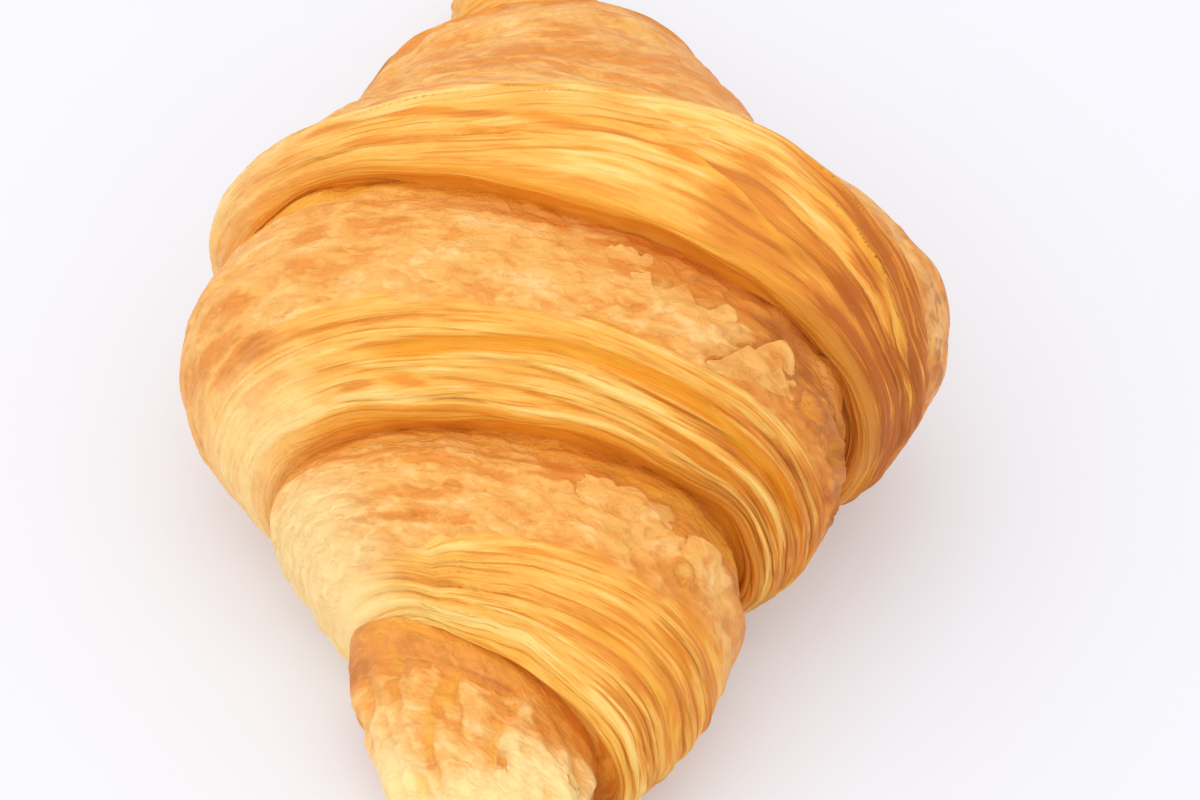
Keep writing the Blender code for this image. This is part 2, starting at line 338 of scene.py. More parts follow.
def cage(name, sections, columns, square):
    piece = addCircle(sections[0], columns, square)
    piece.name = piece.data.name = name
    bpy.ops.object.mode_set(mode="EDIT")
    bpy.ops.mesh.select_all(action="SELECT")
    form = bmesh.from_edit_mesh(piece.data)
    around = form.verts.layers.float.new("around")
    form.verts.layers.float.new("along")
    for vert in form.verts:
        vert[around] = math.atan2(vert.co.x, vert.co.z - bellyShare * sections[0][4] * mm) / math.tau
    bmesh.update_edit_mesh(piece.data)
    last = (0.0, 0.0, 0.0) + sections[0][3:5]
    for number, section in enumerate(sections):
        if number:
            bpy.ops.mesh.extrude_region_move()
        x, y, turn, halfWidth, height, run = section
        step = ((x - last[0]) * mm, (y - last[1]) * mm, 0)
        bpy.ops.transform.translate(value=step)
        centre = (x * mm, y * mm, 0)
        turnSelected(-last[2], centre)
        bpy.ops.transform.resize(value=(halfWidth / last[3], 1, height / last[4]),
                                 center_override=centre)
        turnSelected(turn, centre)
        form = bmesh.from_edit_mesh(piece.data)
        along = form.verts.layers.float["along"]
        for vert in form.verts:
            if vert.select:
                vert[along] = run
        last = section
    bpy.ops.mesh.select_all(action="DESELECT")
    bpy.ops.mesh.select_mode(type="EDGE")
    bpy.ops.mesh.select_non_manifold()
    bpy.ops.mesh.edge_face_add()
    form = bmesh.from_edit_mesh(piece.data)
    print("  ", name, len(form.verts), "cage points", len(form.faces), "faces",
          sum(not edge.is_manifold for edge in form.edges), "open edges")
    bpy.ops.object.mode_set(mode="OBJECT")
    return piece


# the wrap map: mm around the roll, and mm along its crown
def addWrap(piece, perimeter):
    form = bmesh.new()
    form.from_mesh(piece.data)
    around = form.verts.layers.float["around"]
    along = form.verts.layers.float["along"]
    wrap = form.loops.layers.uv.new("wrap")
    for face in form.faces:
        shares = [loop.vert[around] for loop in face.loops]
        for loop, share in zip(face.loops, shares):
            if share < 0.0 and max(shares) > 0.4:    # across the seam under the base
                share += 1.0
            loop[wrap].uv = (share * perimeter, loop.vert[along])
    form.to_mesh(piece.data)
    form.free()
    for name in ("around", "along"):
        piece.data.attributes.remove(piece.data.attributes[name])


def smoothOut(piece, levels):
    finer = piece.modifiers.new("finer", "SUBSURF")
    finer.levels = finer.render_levels = levels
    finer.uv_smooth = "NONE"
    deselectAll()
    bpy.context.view_layer.objects.active = piece
    piece.select_set(True)
    bpy.ops.object.modifier_apply(modifier=finer.name)


def wrapOf(piece):    # the wrap place of each vertex
    places = [None] * len(piece.data.vertices)
    wrap = piece.data.uv_layers["wrap"].data
    for loop in piece.data.loops:
        if places[loop.vertex_index] is None:
            places[loop.vertex_index] = wrap[loop.index].uv.copy()
    return places


relief = {
    "lump": (17.0, 0.9),          # size and height in mm, as in the solid
    "wrinkle": (6.0, 0.35),
    "ledgeWidth": 2.3,            # from one broad layer to the next
    "ledgeHeight": 0.55,
    "strandWidth": 1.25,
    "strandHeight": 0.30,
    "crackDepth": 0.55,
    "crackWidth": 0.14,           # share of a ledge
    "splitDepth": 1.3,            # where two layers have come apart
    "leadIn": 3.0,                # the layers are worked out from so far before their start
    "skinStep": 0.25,             # how far the skin stands over the layers
    "patchHeight": 0.20,
    "blisterHeight": 0.30,
    "creaseDepth": 0.28,
    "lipShade": 0.25,              # painted shade: how much darker the skin is made inside a lip
    "baseGrain": (2.5, 0.12),
}
wrinkleShift = Vector((7.0, 3.0, 5.0))
solidShift = Vector((3.80, -2.53, 0.0))    # the solid's noise was worked out before it was centred
patternGap = 10    # mm along for each seed, so that no two bands share a pattern

# fades round a band, by the share of its way round: 0 on the crown, negative on the left
fades = {
    "left": (-0.13, -0.24),
    "paleLitSide": (-0.07, -0.20),
    "shadedUnder": (-0.26, -0.14),     # the painted shade under the lips fades out on the left, as the folds do
    "lipShaded": (-0.20, -0.10),
    "right": (0.05, 0.24),
    "widened": (0.05, 0.16),
    "closed": (0.08, 0.18),
    "nearBase": (0.22, 0.31),     # on the right
}

# what the crust's colours are worked out from, as on plain skin
plainLooks = {"layered": 0.0, "hollowShade": 0.0, "patch": 0.0, "tint": 0.5, "brownAndShade": 0.0, "paleAndLit": 0.0,
              "layerAt": 0.0, "strandAt": 0.5, "ledgeAt": 0.5, "opening": 0.0}


def fade(name, around):
    return ease(*fades[name], around)


def fromEnds(line, u):    # mm from the nearer end of a line of points, negative beyond it
    return min(u - line[0][0], line[-1][0] - u)


def unevenness(point):
    size, height = relief["lump"]
    place = point - solidShift
    lump = noise.noise(place / size) * height
    size, height = relief["wrinkle"]
    return lump + noise.noise(place / size + wrinkleShift) * height


def ridge(place):    # 0.5 on a strand's crown and -0.5 in the groove beside it
    return -0.5 * math.cos(place * math.tau)


# height and colour of the cut layers at one place, where fanned is the place across them
def layerRelief(band, u, v, fanned):
    seed = band["seed"]
    plain = ease(-8.0, -38.0, u)    # the layers run together on the left
    bend = wave(u / 48, fanned / 16, seed) * 1.6 + wave(u / 17, fanned / 8, seed + 9) * 0.4
    layerAt = fanned + bend
    place = (layerAt + wave(u / 60, layerAt / 6, seed + 3) * 3.0) / relief["ledgeWidth"]
    ledge = math.floor(place)
    inside = place - ledge
    strength = ease(-0.35, 0.35, wave(u / 26, ledge * 5.3, seed + 21))
    rise = inside ** 0.7 * (1.0 - ease(0.76, 1.0, inside)) - 0.45
    height = relief["ledgeHeight"] * rise * (0.3 + 0.7 * strength) * (1.0 - 0.6 * plain)
    crackAt = (inside if inside < 0.5 else inside - 1.0) - 0.02
    crack = math.exp(-(crackAt / relief["crackWidth"]) ** 2)
    crack *= ease(0.10, 0.45, wave(u / 17, round(place) * 3.7, seed + 55)) * (1.0 - 0.5 * plain)
    height -= crack * relief["crackDepth"]
    # painted shade in the cracks between layers
    hollowShade = 0.3 * crack

    warp = wave(u / 30, layerAt / 1.9, seed + 33) * 1.5 + wave(u / 12, layerAt / 4, seed + 8) * 0.4
    strandAt = (layerAt + warp) / relief["strandWidth"]
    full = 0.35 + 0.65 * ease(-0.3, 0.3, wave(u / 19, math.floor(strandAt) * 4.1, seed + 77))
    full *= (1.0 - 0.85 * plain) * (1.0 + 0.8 * ease(14.0, 34.0, u))
    height += relief["strandHeight"] * full * ridge(strandAt)

    for line, width, depth in band["splits"]:    # a long opening between two layers
        near = fromEnds(line, u)
        if near > 0.0:
            off = v - curveAt(line, u) - wave(u / 12, depth, seed) * 0.6
            opened = ease(0.0, 9.0, near) * depth
            lifted = ease(-2.6, -0.4, off) * (1.0 - ease(-0.4, 0.4, off))
            sunk = ease(-0.4, 0.4, off) * (1.0 - ease(0.4 * width, width, off))
            height += opened * (0.45 * lifted - 0.9 * sunk) * relief["splitDepth"]
            # painted shade in the opening
            hollowShade = max(hollowShade, min(opened, 1.0) * sunk)
    tint = 0.5 + 0.3 * wave(u / 20, ledge * 2.3, seed + 91)
    for line, width, lift in band["raised"]:    # a single layer that stands out
        near = fromEnds(line, u)
        if near > 0.0:
            off = (v - curveAt(line, u) - wave(u / 14, lift, seed) * 0.5) / width
            stand = ease(0.0, 8.0, near) * ease(1.0, 0.2, abs(off))
            height += stand * lift
            tint += stand * 0.3
            hollowShade *= 1.0 - stand
    return height, tint, hollowShade, (layerAt, strandAt, place)


# the layers from where the skin ends up to their lip: adds to the looks, gives the height
def cutRelief(band, u, v, looks):
    cut, seed = band["cut"], band["seed"]
    start = curveAt(cut["from"], u)
    ragged = wave(u / 9, 3.3, seed) * 1.2 + wave(u / 3.2, v / 4, seed + 2) * 1.0
    past = v - start + ragged
    if past <= -relief["leadIn"]:
        return 0.0
    layered = ease(-0.35, 0.35, past) * (1.0 - 0.45 * ease(-16.0, -36.0, u))
    width = min(cut["width"], 1.7 * (cut["lip"] - start))
    share = (v - start) / (cut["lip"] - start)
    height, tint, hollowShade, spots = layerRelief(band, u, v, cut["lip"] + (share - 1.0) * width)
    rim = ease(1.3, 0.5, cut["lip"] - v)
    if layered > 0.0:
        looks["tint"] = tint + band["rimTint"] * rim
    looks["layered"] = layered
    looks["opening"] = ease(0.6, 3.2, past)
    looks["hollowShade"] = hollowShade * layered * (1.0 - rim)
    looks["layerAt"], looks["strandAt"], looks["ledgeAt"] = spots
    return height * ease(-0.4, 2.4, past)    # rises slowly, where the looks begin at once


# the slanting folds of a rounded end, paler on their crests, with painted shade in their troughs
def crumbRelief(band, u, v, looks):
    seed = band["seed"]
    rounded = ease(-4.0, 3.0, v)
    slant = u + v * 0.35 + 2.5 * wave(u / 9, v / 9, seed + 75)
    fold = wave(slant / 3.4, v / 9, seed + 71) + 0.6 * wave(u / 2.4, v / 3.6, seed + 73)
    looks["tint"] += rounded * (0.35 * fold + 0.12)
    # painted shade in the troughs of the folds
    looks["hollowShade"] = max(looks["hollowShade"], 0.5 * rounded * ease(-0.2, -0.6, fold))
    return rounded * band["crumb"] * fold


# how much darker or paler the lines of tone make one place; some of the darker lines are painted
# shade under a neighbour's lip
def toneAt(band, u, v):
    total = 0.0
    seed = band["seed"]
    wander = wave(u / 7, v / 3, seed + 60) * 0.5
    for line, width, shift in band.get("tones", ()):
        near = fromEnds(line, u)
        if near > 0.0:
            off = abs(v - curveAt(line, u) + wander * width)
            if off < width:
                broken = max(0.8 + 1.1 * wave(u / 5, width * 7.3, seed + 61), 0.0)
                total += shift * broken * ease(0.0, 7.0, near) * ease(width, 0.2 * width, off)
    return total


# where a thin top layer of skin ends in a ragged raised edge, with a painted shadow just beyond it,
# and the pits where it came away, with painted shade in them
def tornRelief(band, u, v):
    height, tint, hollowShade = 0.0, 0.0, 0.0
    seed = band["seed"]
    for line, tall in band.get("tears", ()):
        near = fromEnds(line, u)
        if near > 0.0:
            ragged = wave(u / 3.4, tall, seed) * 2.6 + wave(u / 1.3, tall, seed) * 0.3
            off = v - curveAt(line, u) + ragged
            kept = ease(0.0, 0.5, off) * ease(0.0, 4.0, near) * ease(7.0, 2.0, off)
            height += kept * tall
            # a painted shadow just beyond the raised edge
            tint += 0.06 * kept - 0.25 * ease(-2.2, -0.2, off) * (1.0 - kept) * ease(0.0, 4.0, near)
    for pitU, pitV, size, deep in band.get("pits", ()):
        away = math.hypot((u - pitU) / 1.3, v - pitV) / size + wave(u / 1.6, v / 1.6, pitU) * 0.5
        sunk = ease(1.0, 0.55, away)
        rim = ease(1.5, 1.05, away) * (1.0 - sunk)
        height += deep * (0.5 * rim - sunk)
        tint -= 0.5 * rim * ease(0.6, 1.2, away)
        # painted shade in the pits
        hollowShade = max(hollowShade, 0.5 * sunk * min(deep, 1.0))
    return height, tint, hollowShade


# blisters, creases and two depths of scaly patches on the smooth skin
def skinRelief(band, point, u, v, looks):
    seed = band["seed"]
    blister = wave(point.x / 5.5, point.y / 3.6, point.z / 5.5) * relief["blisterHeight"]
    crease = -abs(wave(u / 18, v / 1.9, seed + 5)) * relief["creaseDepth"]
    torn = wave(u / 10, v / 3.6, seed + 12) + 0.45 * wave(u / 4.2, v / 1.8, seed + 18)
    torn += 0.25 * wave(u / 1.7, v / 1.1, seed + 23)
    patch = ease(-0.04, 0.10, torn)
    second = ease(0.20, 0.30, torn + 0.3 * wave(u / 2.2, v / 1.4, seed + 44))
    rough = 0.0
    if "tornAt" in band:    # the middle of the roughest skin, and how far it reaches each way
        middleU, middleV, wide, tall = band["tornAt"]
        rough = ease(wide, 0.2 * wide, abs(u - middleU)) * ease(tall, 0.0, abs(v - middleV))
    patchHeight = relief["patchHeight"] * (1 + 2.2 * rough) * band.get("patchy", 1.0)
    tornHeight, tornTint, tornShade = tornRelief(band, u, v)
    looks["patch"] = patch * 0.6 + second * 0.4
    looks["tint"] += tornTint * (1.0 - looks["layered"])
    looks["hollowShade"] = max(looks["hollowShade"], tornShade)
    patches = patchHeight * (patch - 0.5 + 0.6 * second)
    return blister + crease + patches + relief["skinStep"] + tornHeight


# beside the larger neighbour's lip: filled up on the left, dug out, and closed on the right
def coverRelief(band, coveredTo, around, v):
    left = fade("left", around)
    filled = band.get("filled", 0.0) * left * ease(coveredTo + 7.0, coveredTo, v)
    dug = band.get("dug", 0.0) * (1.0 - left) * ease(coveredTo + 3.6, coveredTo + 0.8, v)
    closed = band.get("closed", 0.0) * fade("closed", around)
    return filled - dug + closed * ease(coveredTo + 7.0, coveredTo + 1.0, v)


# the tones, the painted shade under a lip, the browner right side, partly painted shade, and the
# paler left side, partly painted light
def addTones(band, coveredTo, around, u, v, lip, looks):
    # painted shade: the skin inside a lip is made darker, most away from the left
    lipShade = mix(relief["lipShade"], band.get("lipShade", relief["lipShade"]), fade("lipShaded", around))
    looks["tint"] += toneAt(band, u, v) - lipShade * lip
    # painted shade on the lip's underside and under the larger neighbour's lip
    under = max(0.5 * lip, ease(coveredTo + 1.2, coveredTo - 0.6, v))
    under *= band["undercut"] * fade("shadedUnder", around)
    looks["hollowShade"] = max(looks["hollowShade"] * (1.0 - lip), under)
    golden = 1.0 - 0.5 * fade("nearBase", around)
    # browner on the right: partly browner crust and partly painted shade on the side away from the
    # key light
    looks["brownAndShade"] = band["browningAndShade"] * fade("right", around) * golden
    # paler on the left: partly paler crust and partly painted light on the side facing the key light;
    # the cream of a rounded end is its own colour
    paleAndLit = band["palenessAndLight"] * fade("paleLitSide", around)
    if "paleFrom" in band:
        paleAndLit *= ease(band["paleFrom"], band["paleFrom"] + 9.0, v)
    if "creamFrom" in band:
        off = v - curveAt(band["creamFrom"], u) + wave(u / 5, v / 5, band["seed"] + 66) * 3.0
        paleAndLit = max(paleAndLit, 0.95 * ease(-2.0, 9.0, off))
    looks["paleAndLit"] = paleAndLit * (1.0 - under)
    looks["layerAt"] += band["seed"] * patternGap


# the height in mm and the looks of one place on a band
def reliefAt(band, point, u, v):
    looks = dict(plainLooks, layerAt=v)
    around = u / band["perimeter"]
    coveredTo = band["coveredTo"] + band.get("widened", 0.0) * fade("widened", around)
    height = unevenness(point) + coverRelief(band, coveredTo, around, v)
    layerHeight, skinHeight, lip = 0.0, 0.0, 0.0
    if "cut" in band:
        layerHeight = cutRelief(band, u, v, looks)
        lip = ease(-0.3, 1.0, v - band["cut"]["lip"])
    if "crumb" in band:
        height += crumbRelief(band, u, v, looks)
    if looks["layered"] < 1.0:
        skinHeight = skinRelief(band, point, u, v, looks)
    height += mix(skinHeight, layerHeight, looks["layered"]) * (1.0 - 0.6 * lip)
    addTones(band, coveredTo, around, u, v, lip, looks)
    return height, looks


def lipShift(band, u, v):    # the lip's edge wanders a little along the band
    shift = Vector()
    if "cut" in band:
        past = v - band["cut"]["lip"]
        near = ease(-3.5, -0.5, past) * ease(3.2, 1.2, past)
        if near:
            uneven = wave(u / 11, 1.7, band["seed"]) * 1.0 + wave(u / 4.0, 4.1, band["seed"]) * 0.2
            angle = math.radians(band["cut"]["turn"])
            shift = Vector((math.sin(angle), math.cos(angle), 0.0)) * uneven * near
    return shift


def storeLooks(piece, looks):
    for name, numbers in looks.items():
        stored = piece.data.attributes.new(name, "FLOAT", "POINT")
        stored.data.foreach_set("value", numbers)


def addRelief(piece, band):
    places = wrapOf(piece)
    endAt = max(place[1] for place in places)
    flatFrom, flatAt = (6.0, 0.0) if "crumb" in band else (1.2, 0.1)    # mm before the closed end
    looks = {name: [] for name in plainLooks}
    moved = []
    for vert, (u, v) in zip(piece.data.vertices, places):
        height, found = reliefAt(band, vert.co / mm, u, v)
        height *= ease(endAt - flatAt, endAt - flatFrom, v)
        moved.append(vert.co + (vert.normal * height + lipShift(band, u, v)) * mm)
        for name, number in found.items():
            looks[name].append(number)
    for vert, spot in zip(piece.data.vertices, moved):
        vert.co = spot
    for loop in piece.data.uv_layers["wrap"].data:
        loop.uv.y += band["seed"] * patternGap
    storeLooks(piece, looks)


def flattenBase(piece, level):    # each band's base lies a little over its larger neighbour's
    size, height = relief["baseGrain"]
    for vert in piece.data.vertices:
        if vert.co.z < level:
            place = vert.co / (size * mm)
            rough = max(wave(place.x, place.y, 7.0) + 0.6, 0.0)
            vert.co.z = level + rough * height * mm


def finishBand(name, sections, band):
    piece = cage(name, sections, band["columns"], band["square"])
    addWrap(piece, band["perimeter"])
    smoothOut(piece, 4)
    addRelief(piece, band)
    flattenBase(piece, band["base"] * mm)
    piece.data.materials.append(crust)
    piece.data.shade_smooth()
    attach(piece, "root")
    triangles = sum(len(face.vertices) - 2 for face in piece.data.polygons)
    print("  ", name, triangles, "triangles")
    return piece


crust = crustMaterial("bakedCrust", crustLook["subsurface"])
thinCrust = crustMaterial("thinCrust", 0.0)    # red light would leave a thin flake through its back

# lines and pits are placed in mm around the roll and along its crown. A line is its points, its
# width, but for a tear, and its strength. A pit is its place, size and depth. The layers start
# at "from" and end at the lip, and "coveredTo" is where the larger neighbour's lip ends
middleBand = {
    "farLip": (-0.6, 14.6, 11, 30.0, 45.6),
    "farBelly": (1.2, 10.2, 12, 33.6, 48.6),
    "crest": (4.0, 5.5, 12, 41.0, 50.6),
    "bulge": (-0.3, -4.5, 14, 48.5, 54.6),      # pulls the shoulder outwards
    "nearLip": (-3.2, -11.2, 18, 39.2, 50.4),
    "nearSteps": (0.17, 0.34, 0.51, 0.68, 0.84, 1.0),
    "square": 2.1, "columns": 26, "perimeter": 210.0, "base": 0.0, "seed": 3.0,
    "cut": {"from": ((-45, 11), (-25, 8), (-12, 4), (0, -2), (10, -4), (17, -2.5), (23, 0.9),
                     (33, 6.0), (40, 9.2), (49, 12.0), (57, 13.0)),
            "lip": 17.2, "width": 13.0, "turn": 15.0},
    "splits": (
        (((-8, 9.5), (6, 7.2), (10, 9.0), (15, 10.8), (22, 14.0), (30, 15.6)), 1.1, 0.5),
        (((18, 3.5), (24, 6.8), (32, 10.2), (37, 12.4), (44, 13.8), (54, 14.0)), 1.2, 0.55),
        (((-20, 12.5), (-8, 12.0), (8, 12.6), (14, 13.4)), 0.8, 0.35),
    ),
    "raised": (
        (((2, 0.5), (12, 6.0), (21, 8.8), (26, 10.6), (31, 12.6), (36, 13.8), (54, 15.4)), 0.8, 0.45),
    ),
    "tones": (
        (((-50, -3), (-20, -6), (0, -7), (14, -7), (22, -3)), 3.5, -0.35),
        # darker on the right flank: partly browner crust and partly painted shade away from the key
        # light
        (((8, 9.0), (24, 13.5), (40, 16.0), (70, 17.0)), 7.0, -0.4),
        (((15, -1.0), (22, 3.2), (32, 8.0), (44, 12.2), (60, 13.6)), 2.6, -0.2),
        (((18, -4.0), (26, 0.5), (36, 5.0), (48, 9.0), (60, 10.0)), 2.5, 0.2),
        (((-50, 12), (-20, 8), (-12, 5.5), (0, 1.5), (10, 0.0), (20, 5.0)), 4.5, 0.3),
        (((4, 15.0), (12, 15.2), (20, 15.8), (30, 16.4)), 1.5, -0.2),
        (((-32, 11.5), (-22, 10.2), (-12, 9.6), (4, 9.6), (12, 9.9), (22, 11.0)), 0.9, -0.5),
        (((-26, 3.8), (-16, 3.0), (-8, 3.2), (4, 2.4)), 0.7, -0.45),
        (((-34, 7.0), (-22, 6.0), (-12, 6.0)), 2.0, -0.35),
        (((-48, 14.6), (-30, 14.4), (-14, 14.2), (4, 14.8)), 1.2, -0.35),
    ),
    "coveredTo": -99.0, "undercut": 0.75,
    "browningAndShade": 1.0, "palenessAndLight": 0.35, "rimTint": -0.1,
}
sideBands = {
    "nearLarge": {
        "start": (-4.8, -6.0, 14, 35.5, 45.0), "rooted": 5.0,
        "belly": (-7.0, -19.0, 12, 39.2, 47.0), "lip": (-7.0, -32.0, 10, 29.0, 35.3),
        "shoulderSteps": 5, "square": 2.2, "columns": 28, "perimeter": 200.0, "base": 0.1,
        "seed": 11.0,
        "cut": {"from": ((-45, 8.5), (-30, 6.8), (-10, 5.8), (8, 5.0), (30, 5.6), (48, 6.4)),
                "lip": 16.8, "width": 12.5, "turn": 10.0},
        "splits": (
            (((-22, 10.8), (-7, 9.7), (3, 8.5), (15, 8.1), (26, 8.9), (34, 10.5), (50, 10.9)),
             2.2, 1.0),
            (((-34, 13.0), (-20, 12.6), (-8, 13.2)), 1.2, 0.5),
            (((20, 13.5), (34, 14.6), (48, 14.4)), 1.2, 0.6),
        ),
        "raised": ((((8, 12.2), (20, 12.4), (34, 13.4), (50, 13.6)), 1.1, 0.35),),
        "tears": (
            (((8, 3.0), (19, 1.6), (24, 0.0), (30, -0.8), (34, -2.6), (42, -1.0)), 0.22),
            (((34, -6.5), (44, -5.0), (58, -4.0)), 0.2),
        ),
        "pits": ((33, 0.2, 1.0, 0.6), (37, 2.0, 1.5, 0.7), (41, -2.0, 1.2, 0.6), (43, 2.4, 1.4, 0.7),
                 (47, 0.4, 1.1, 0.6), (50, 4.0, 1.3, 0.6), (54, 0.5, 1.2, 0.5)),
        "tones": (
            # painted shade: the first two lines darken the skin on the right, below the middle band's
            # lip
            (((8, -6.5), (20, -5.5), (34, -5.5), (60, -4.5)), 5.0, -0.5),
            (((24, -2.5), (34, -1.0), (44, 1.0), (60, 2.0)), 6.0, -0.9),
            (((14, 3.0), (30, 3.0), (44, 3.5)), 3.0, 0.12),
            (((-46, 14.0), (-24, 14.0), (-8, 15.5)), 5.0, 0.25),
            (((-42, 8.6), (-34, 8.2), (-24, 8.0)), 1.5, -0.8),
            (((-40, 12.2), (-32, 11.6), (-18, 11.6)), 1.2, -0.7),
            (((-44, 5.8), (-38, 5.4), (-30, 5.2)), 1.7, -0.5),
            (((-26, 14.6), (-16, 14.2), (-6, 14.8)), 0.9, -0.6),
            (((-36, 2.5), (-26, 1.6), (-14, 1.4)), 1.6, -0.5),
            (((-30, -3.0), (-20, -3.6), (-8, -3.8)), 1.6, -0.45),
        ),
        "tornAt": (32.0, -1.0, 26.0, 8.0),
        "coveredTo": -10.0, "undercut": 0.75, "dug": 0.3, "closed": 1.6,
        "browningAndShade": 0.6, "palenessAndLight": 0.55, "paleFrom": 4.0, "rimTint": 0.3, "lipShade": 0.9,
    },
    "nearSmall": {
        "start": (-5.8, -26.0, 10, 24.5, 30.5), "rooted": 5.0,
        "belly": (-7.0, -37.0, 12, 27.0, 32.6), "lip": (-7.9, -54.9, 34, 17.4, 23.0),
        "shoulderSteps": 5, "square": 2.2, "columns": 28, "perimeter": 140.0, "base": 0.2,
        "seed": 23.0,
        "cut": {"from": ((-28, 15), (-14, 12.8), (-6, 9.6), (5, 7.2), (20, 5.8), (34, 5.8)),
                "lip": 18.6, "width": 12.0, "turn": 34.0},
        "splits": (
            (((8, 13.0), (18, 12.2), (30, 12.6), (40, 12.6)), 1.3, 0.6),
            (((16, 8.8), (26, 8.8), (36, 9.2)), 1.0, 0.5),
        ),
        "raised": (),
        "tears": (
            (((4, 0.0), (10, 1.0), (18, 0.0), (26, -1.0), (32, 0.5)), 0.2),
        ),
        "pits": ((22, 3.6, 0.9, 0.5), (-6, 3.4, 0.7, 0.3), (-11, 7.6, 0.6, 0.3)),
        "tones": (
            # painted shade under the larger band's lip, on the right
            (((2, -4.6), (16, -3.4), (26, -3.0), (40, -2.0)), 5.5, -0.7),
            (((-14, 0.5), (-4, -0.5), (8, 0.5)), 2.0, -0.25),
            (((-20, 5.5), (-12, 4.6), (-4, 4.4)), 1.3, -0.6),
            (((-26, 9.5), (-18, 8.2), (-9, 7.6)), 1.1, -0.55),
            (((-12, 9.5), (-5, 7.4), (2, 5.6)), 1.2, -0.6),
        ),
        "tornAt": (18.0, 2.0, 14.0, 6.0),
        "coveredTo": -4.6, "widened": 1.5, "undercut": 0.5, "dug": 1.0, "closed": 0.8, "filled": 0.8,
        "browningAndShade": 0.4, "palenessAndLight": 0.8, "paleFrom": -6.0, "rimTint": 0.4,
    },
    "farLarge": {
        "start": (0.0, 11.0, 9, 32.4, 45.8), "rooted": 3.0, "evenNeck": True,
        "belly": (-4.2, 28.0, -9, 24.4, 39.2), "lip": (-5.6, 36.8, -10, 22.6, 34.5),
        "shoulderSteps": 4, "square": 2.2, "columns": 28, "perimeter": 150.0, "base": 0.1,
        "seed": 37.0,
        "cut": {"from": ((-40, 7.8), (40, 7.8)), "lip": 9.8, "width": 5.0, "turn": -10.0},
        "splits": (), "raised": (),
        "tones": (
            (((-60, -6), (60, -6)), 14.0, -0.15),
            (((-60, -9), (0, -8), (60, -8)), 2.5, -0.4),
            (((-60, 8), (60, 8)), 3.0, -0.5),
        ),
        "coveredTo": -15.5, "undercut": 0.3, "browningAndShade": 0.5, "palenessAndLight": 0.1, "rimTint": 0.0,
    },
    "farSmall": {
        "start": (-5.4, 30.5, -8, 16.2, 28.2), "rooted": 4.0,
        "belly": (-4.7, 44.5, -6, 12.3, 25.6), "lip": (-5.0, 57.0, -4, 10.2, 19.6),
        "shoulderSteps": 4, "square": 2.2, "columns": 28, "perimeter": 86.0, "base": 0.2,
        "seed": 41.0,
        "cut": {"from": ((-30, -5.5), (30, -4.0)), "lip": 13.8, "width": 18.0, "turn": -6.0},
        "splits": (), "raised": (), "tones": ((((-60, -3), (60, -3)), 12.0, -0.25),),
        "coveredTo": -8.0, "undercut": 0.35, "browningAndShade": 0.5, "palenessAndLight": 0.0, "rimTint": 0.0,
    },
}
tips = {
    "nearTip": {
        "start": (-10.3, -45.5, 34, 16.4, 21.3), "rooted": 5.0,
        "belly": (-10.5, -55.5, 30, 15.9, 21.6), "end": (-7.0, -77.0, 18, 14.0, 14.0),
        "square": 2.2, "columns": 28, "perimeter": 90.0, "base": 0.3, "seed": 53.0,
        "tones": (
            (((-40, -2), (0, -0.5), (10, -2), (40, -4)), 9.0, -0.45),
            (((-30, -0.5), (-12, 0.0), (2, -0.5), (12, -3.0)), 3.5, -0.35),
            (((-2, 3.0), (6, 4.4), (14, 4.0)), 1.6, -0.6),
        ),
        "creamFrom": ((-24, 4), (-16, 6.0), (-12, 8.5), (-6, 10.0), (1, 7.0), (7, 3.0), (20, 0)),
        "pits": ((5.0, 1.8, 1.3, 0.7), (9.5, 2.0, 0.8, 0.35), (3.0, 10.2, 1.0, 0.8),
                 (14.0, 7.2, 0.7, 0.7), (7.0, 7.4, 0.9, 0.3), (-4.0, 6.2, 1.6, 0.25),
                 (-9.0, 13.0, 0.9, 0.4)),
        "patchy": 0.25, "crumb": 1.25, "coveredTo": -1.5, "undercut": 0.3,
        "browningAndShade": 0.1, "palenessAndLight": 0.0,
    },
    "farTip": {
        "start": (-4.9, 49.5, -4, 9.1, 16.7), "rooted": 5.0,
        "belly": (-5.6, 60.0, -4, 9.8, 17.2), "end": (-8.7, 77.5, -6, 8.8, 12.8),
        "square": 2.2, "columns": 28, "perimeter": 66.0, "base": 0.3, "seed": 61.0,
        "crumb": 0.5, "coveredTo": -3.0, "undercut": 0.3, "browningAndShade": 0.3, "palenessAndLight": 0.0,
    },
}


def makeMiddle():
    sections = withAlong(middleSections(middleBand), 6)
    piece = finishBand("middleBand", sections, middleBand)
    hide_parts("croissant")


def makeSideBands():
    for name, band in sideBands.items():
        sections = withAlong(neckSections(band) + shoulderSections(band), 4)
        finishBand(name, sections, band)


def tipSections(band):    # a rounded end, drawn in towards its last point
    rows = []
    for share in (0.3, 0.55, 0.75, 0.89, 0.965, 0.995):
        x, y, turn, halfWidth, height = mixSections(band["belly"], band["end"], share)
        scale = math.sqrt(1.0 - share * share)
        rows.append((x, y, turn, halfWidth * scale, height * (bellyShare + scale * (1 - bellyShare))))
    return rows


def makeTips():
    for name, band in tips.items():
        sections = withAlong(neckSections(band) + tipSections(band), 4)
        finishBand(name, sections, band)


